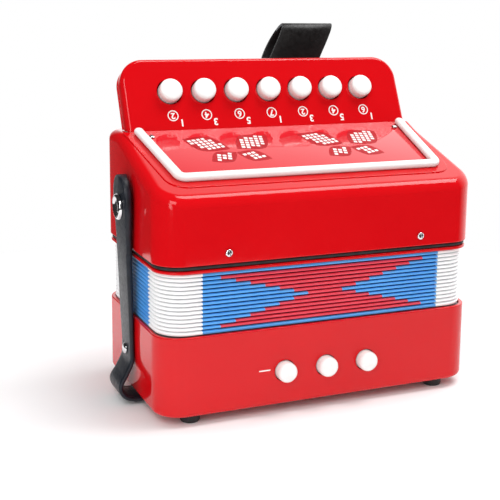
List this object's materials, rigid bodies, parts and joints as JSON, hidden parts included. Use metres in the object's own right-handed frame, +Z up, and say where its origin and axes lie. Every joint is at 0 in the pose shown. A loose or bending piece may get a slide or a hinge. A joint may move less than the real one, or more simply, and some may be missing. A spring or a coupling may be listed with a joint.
{
  "type": "button accordion",
  "caption": "Small upright button accordion with a pleated bellows, a leaning keyboard panel, round keys, bass buttons, a bellows strap and hand and thumb straps.",
  "frame": {"origin": "centre of the object's footprint on the surface that it stands on, level with the undersides of the feet", "axes": "+Z up from the bass end to the treble end, -Y the front with the keys and bass buttons, +X to the right seen from the front"},
  "size_m": [0.1849, 0.1142, 0.1872],
  "materials": {
    "red_plastic": "glossy injection-moulded plastic",
    "white_plastic": "smooth satin-gloss moulded plastic",
    "black_vinyl": "glossy padded vinyl with a fine grain",
    "black_rubber": "matt moulded rubber",
    "chrome": "bright plated",
    "steel": "plain stamped steel",
    "brass": "plain brass sheet",
    "grey_plastic": "plain moulded plastic",
    "felt": "soft valve felt",
    "clear_plastic": "clear polished plastic over the red casing",
    "bellows_card": "pleated laminated card in white, blue and red"
  },
  "bodies": {
    "bass": {"bass_casing": "red_plastic", "foot_front_left": "black_rubber", "foot_front_right": "black_rubber", "foot_back_left": "black_rubber", "foot_back_right": "black_rubber", "bass_sound_board": "grey_plastic", "bass_reed_plate": "brass", "bass_axle": "steel", "hand_strap": "black_vinyl", "strap_rivet_left": "chrome", "strap_rivet_right": "chrome", "bellows": "bellows_card"},
    "treble": {"treble_frame": "red_plastic", "treble_gasket": "black_rubber", "treble_casing": "red_plastic", "treble_sound_board": "grey_plastic", "treble_reed_plate": "brass", "key_axle": "steel", "casing_screw_front_left": "chrome", "casing_screw_front_right": "chrome", "casing_screw_back_left": "chrome", "casing_screw_back_right": "chrome", "grille_window": "clear_plastic", "grille_trim": "white_plastic", "window_screw_left": "chrome", "window_screw_right": "chrome", "keyboard_panel": "red_plastic", "panel_back_cover": "red_plastic", "thumb_strap": "black_vinyl", "thumb_strap_clamp": "steel", "snap_stud": "steel"},
    "bellows_strap": {"bellows_strap": "black_vinyl", "snap_cap": "chrome"},
    "key_1": {"key_1_button": "white_plastic", "key_1_lever": "steel", "key_1_pad": "felt"},
    "key_2": {"key_2_button": "white_plastic", "key_2_lever": "steel", "key_2_pad": "felt"},
    "key_3": {"key_3_button": "white_plastic", "key_3_lever": "steel", "key_3_pad": "felt"},
    "key_4": {"key_4_button": "white_plastic", "key_4_lever": "steel", "key_4_pad": "felt"},
    "key_5": {"key_5_button": "white_plastic", "key_5_lever": "steel", "key_5_pad": "felt"},
    "key_6": {"key_6_button": "white_plastic", "key_6_lever": "steel", "key_6_pad": "felt"},
    "key_7": {"key_7_button": "white_plastic", "key_7_lever": "steel", "key_7_pad": "felt"},
    "air_button": {"air_button": "white_plastic"},
    "air_lever": {"air_lever": "steel"},
    "bass_1_button": {"bass_1_button": "white_plastic"},
    "bass_1_lever": {"bass_1_lever": "steel"},
    "bass_2_button": {"bass_2_button": "white_plastic"},
    "bass_2_lever": {"bass_2_lever": "steel"}
  },
  "joints": [
    {"name": "bellows_slide", "type": "slide", "parent": "bass", "child": "treble", "axis": [0, 0, 1], "range_m": [0, 0.1], "deforming": ["bellows"]},
    {"name": "strap_swing", "type": "hinge", "parent": "bass", "child": "bellows_strap", "pos_m": [-0.0858, -0.0041, 0.0333], "axis": [0, -1, 0], "range_deg": [0, 105]},
    {"name": "key_1_press", "type": "hinge", "parent": "treble", "child": "key_1", "pos_m": [-0.05235, 0.00745, 0.10656], "axis": [-1, 0, 0], "range_deg": [0, 3.6], "stiffness_Nm_per_rad": 0.3, "springref_deg": -2.86},
    {"name": "key_2_press", "type": "hinge", "parent": "treble", "child": "key_2", "pos_m": [-0.03375, 0.00745, 0.10656], "axis": [-1, 0, 0], "range_deg": [0, 3.6], "stiffness_Nm_per_rad": 0.3, "springref_deg": -2.86},
    {"name": "key_3_press", "type": "hinge", "parent": "treble", "child": "key_3", "pos_m": [-0.01515, 0.00745, 0.10656], "axis": [-1, 0, 0], "range_deg": [0, 3.6], "stiffness_Nm_per_rad": 0.3, "springref_deg": -2.86},
    {"name": "key_4_press", "type": "hinge", "parent": "treble", "child": "key_4", "pos_m": [0.00345, 0.00745, 0.10656], "axis": [-1, 0, 0], "range_deg": [0, 3.6], "stiffness_Nm_per_rad": 0.3, "springref_deg": -2.86},
    {"name": "key_5_press", "type": "hinge", "parent": "treble", "child": "key_5", "pos_m": [0.02205, 0.00745, 0.10656], "axis": [-1, 0, 0], "range_deg": [0, 3.6], "stiffness_Nm_per_rad": 0.3, "springref_deg": -2.86},
    {"name": "key_6_press", "type": "hinge", "parent": "treble", "child": "key_6", "pos_m": [0.04065, 0.00745, 0.10656], "axis": [-1, 0, 0], "range_deg": [0, 3.6], "stiffness_Nm_per_rad": 0.3, "springref_deg": -2.86},
    {"name": "key_7_press", "type": "hinge", "parent": "treble", "child": "key_7", "pos_m": [0.05925, 0.00745, 0.10656], "axis": [-1, 0, 0], "range_deg": [0, 3.6], "stiffness_Nm_per_rad": 0.3, "springref_deg": -2.86},
    {"name": "air_press", "type": "slide", "parent": "bass", "child": "air_button", "axis": [0, 1, 0], "range_m": [0, 0.003], "stiffness_N_per_m": 200, "springref_m": -0.002},
    {"name": "air_lever_turn", "type": "hinge", "parent": "bass", "child": "air_lever", "pos_m": [-0.0194, -0.0261, 0.0334], "axis": [1, 0, 0], "range_deg": [0, 15]},
    {"name": "bass_1_press", "type": "slide", "parent": "bass", "child": "bass_1_button", "axis": [0, 1, 0], "range_m": [0, 0.003], "stiffness_N_per_m": 200, "springref_m": -0.002},
    {"name": "bass_1_lever_turn", "type": "hinge", "parent": "bass", "child": "bass_1_lever", "pos_m": [0.0028, -0.0261, 0.0334], "axis": [1, 0, 0], "range_deg": [0, 15]},
    {"name": "bass_2_press", "type": "slide", "parent": "bass", "child": "bass_2_button", "axis": [0, 1, 0], "range_m": [0, 0.003], "stiffness_N_per_m": 200, "springref_m": -0.002},
    {"name": "bass_2_lever_turn", "type": "hinge", "parent": "bass", "child": "bass_2_lever", "pos_m": [0.025, -0.0261, 0.0334], "axis": [1, 0, 0], "range_deg": [0, 15]}
  ],
  "couplings": [
    {"joint": "air_lever_turn", "follows": "air_press", "rad_per_m": 86.957},
    {"joint": "bass_1_lever_turn", "follows": "bass_1_press", "rad_per_m": 86.957},
    {"joint": "bass_2_lever_turn", "follows": "bass_2_press", "rad_per_m": 86.957}
  ]
}
